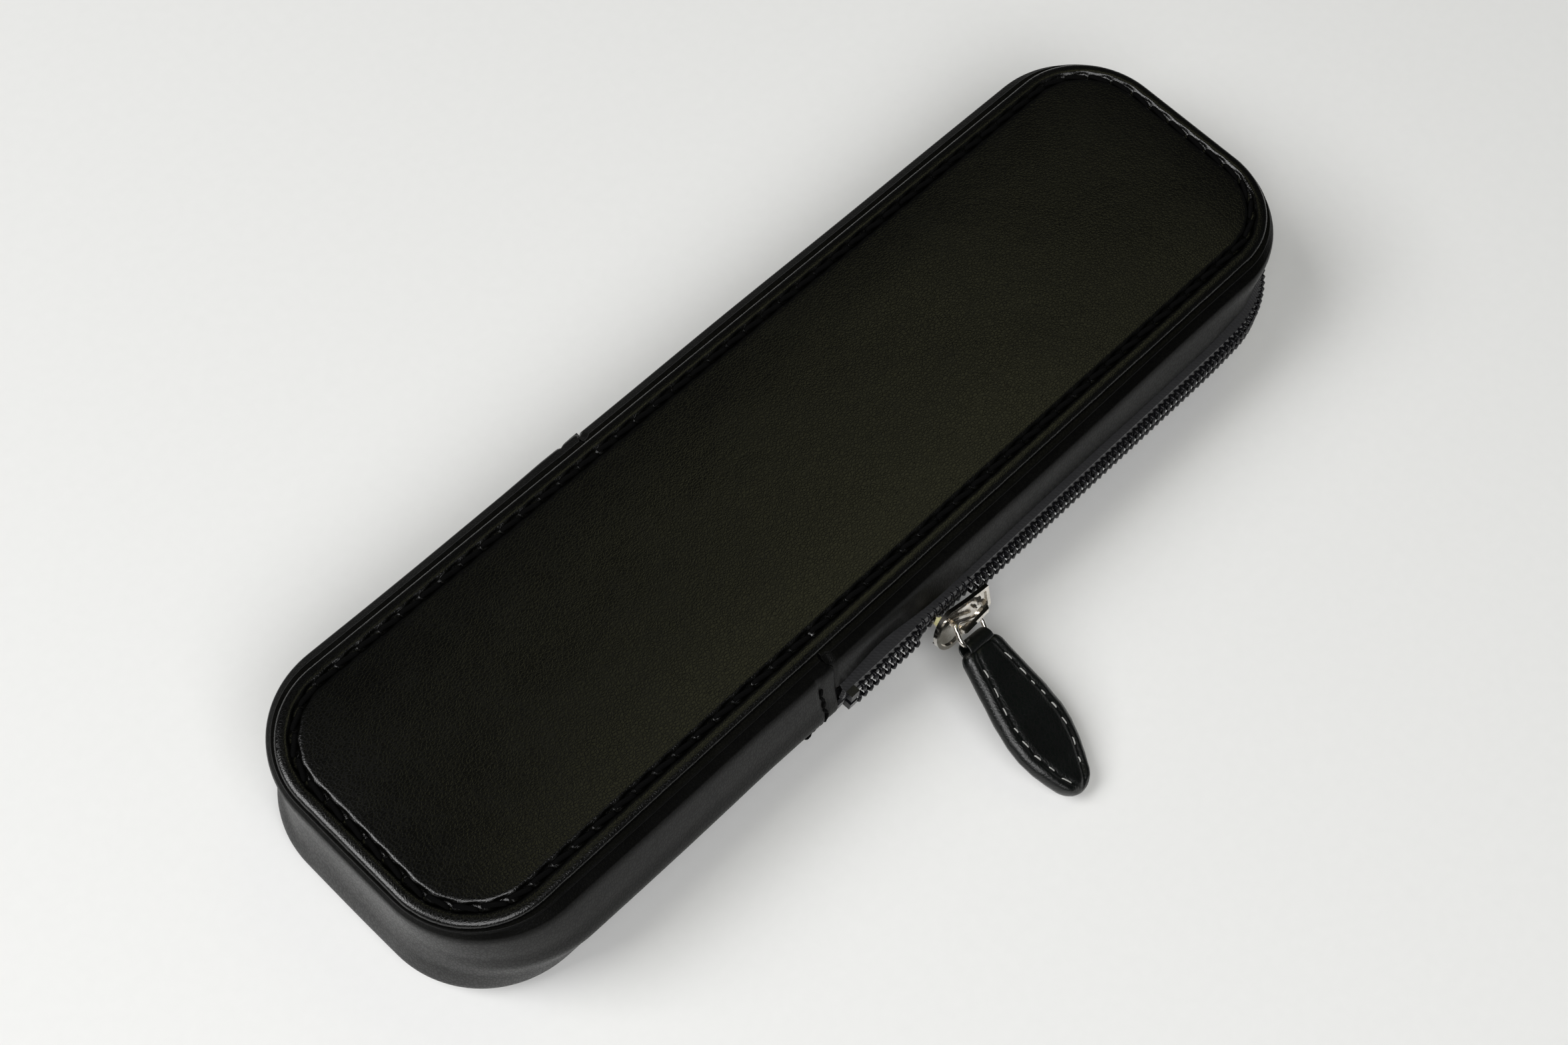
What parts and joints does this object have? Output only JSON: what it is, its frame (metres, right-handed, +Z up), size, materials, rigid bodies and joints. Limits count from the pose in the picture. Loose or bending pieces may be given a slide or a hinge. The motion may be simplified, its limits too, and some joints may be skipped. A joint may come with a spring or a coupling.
{
  "type": "pen case",
  "caption": "Slim zipped leather case for fountain pens, with a lid that folds up from one end, a zip slider on one long side and a leather pull.",
  "frame": {"origin": "middle of the underside, on the surface the case lies on", "axes": "+X towards the end that opens, along the case; -Y towards the long side with the zip slider; +Z up through the lid"},
  "size_m": [0.177, 0.0891, 0.025],
  "materials": {
    "panel_leather": "fine-grained black leather with a soft olive sheen",
    "wall_leather": "black leather with a fine upright grain, turned edges",
    "pull_leather": "glossy black leather with a faint green sheen",
    "black_thread": "waxed black sewing thread",
    "white_thread": "worn off-white sewing thread",
    "card": "grey-brown stiffening board",
    "suede_lining": "soft napped lining",
    "divider_suede": "soft napped lining over a stiff sheet",
    "zip_tape": "woven black tape",
    "nylon_coil": "black nylon coil with bright glints",
    "nickel": "polished nickel plate, worn at the edges"
  },
  "bodies": {
    "case_base": {"bottom_leather": "panel_leather", "bottom_board": "card", "bottom_lining": "suede_lining", "bottom_seam_thread": "black_thread", "top_leather_fixed": "panel_leather", "top_board_fixed": "card", "top_lining_fixed": "suede_lining", "top_seam_thread_fixed": "black_thread", "fold_leather": "wall_leather", "hinge_gusset": "wall_leather", "hinge_gusset_stiffener": "card", "hinge_gusset_lining": "suede_lining", "gusset_end_threads": "black_thread", "zip_strip_lower": "wall_leather", "zip_strip_lining_lower": "suede_lining", "zip_tape_lower": "zip_tape", "zip_coil_lower": "nylon_coil", "zip_stops_lower": "nylon_coil", "pen_divider": "divider_suede"},
    "lid": {"top_leather_lid": "panel_leather", "top_board_lid": "card", "top_lining_lid": "suede_lining", "top_seam_thread_lid": "black_thread", "zip_strip_upper": "wall_leather", "zip_strip_lining_upper": "suede_lining", "zip_tape_upper": "zip_tape", "zip_coil_upper": "nylon_coil", "zip_stops_upper": "nylon_coil"},
    "slider": {"slider_body": "nickel", "slider_bridge": "nickel", "slider_lock_spring": "nickel"},
    "ring": {"pull_ring": "nickel"},
    "pull": {"pull_tab_leather": "pull_leather", "pull_tab_core": "card", "pull_tab_stitching": "white_thread"}
  },
  "joints": [
    {"name": "lid_fold", "type": "hinge", "parent": "case_base", "child": "lid", "pos_m": [-0.021, 0, 0.0125], "axis": [0, -1, 0], "range_deg": [0, 40], "deforming": ["fold_leather"]},
    {"name": "slider_travel", "type": "slide", "parent": "case_base", "child": "slider", "axis": [1, 0, 0], "range_m": [-0.013, 0.06]},
    {"name": "ring_tilt", "type": "hinge", "parent": "slider", "child": "ring", "pos_m": [0.00205, -0.03149, 0.01286], "axis": [0.867, -0.1659, -0.4698], "range_deg": [-30, 20]},
    {"name": "pull_swing", "type": "hinge", "parent": "ring", "child": "pull", "pos_m": [0.00078, -0.03463, 0.01162], "axis": [0.867, -0.1659, -0.4698], "range_deg": [-60, 45]}
  ]
}
